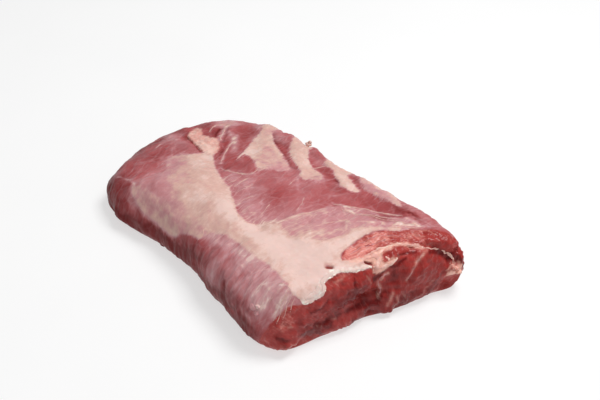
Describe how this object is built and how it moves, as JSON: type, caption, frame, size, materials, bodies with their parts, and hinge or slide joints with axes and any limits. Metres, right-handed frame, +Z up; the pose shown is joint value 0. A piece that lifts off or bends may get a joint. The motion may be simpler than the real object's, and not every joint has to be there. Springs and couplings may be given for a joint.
{
  "type": "raw beef rib eye roll",
  "caption": "Whole boneless raw beef rib eye lying flat: a long waisted slab of lean with silvery membrane on top and a fresh-cut end.",
  "frame": {"origin": "under the middle of the roll's bounding box, on the surface that it lies on", "axes": "+X along the roll to its fresh-cut end, +Y to the edge where the ribs were, +Z up"},
  "size_m": [0.426, 0.2462, 0.0786],
  "materials": {
    "raw_beef": "moist raw beef: dark red lean under a pale, slightly glossy membrane, with an orange-red cut end"
  },
  "bodies": {
    "root": {"rib_eye": "raw_beef"}
  },
  "joints": []
}
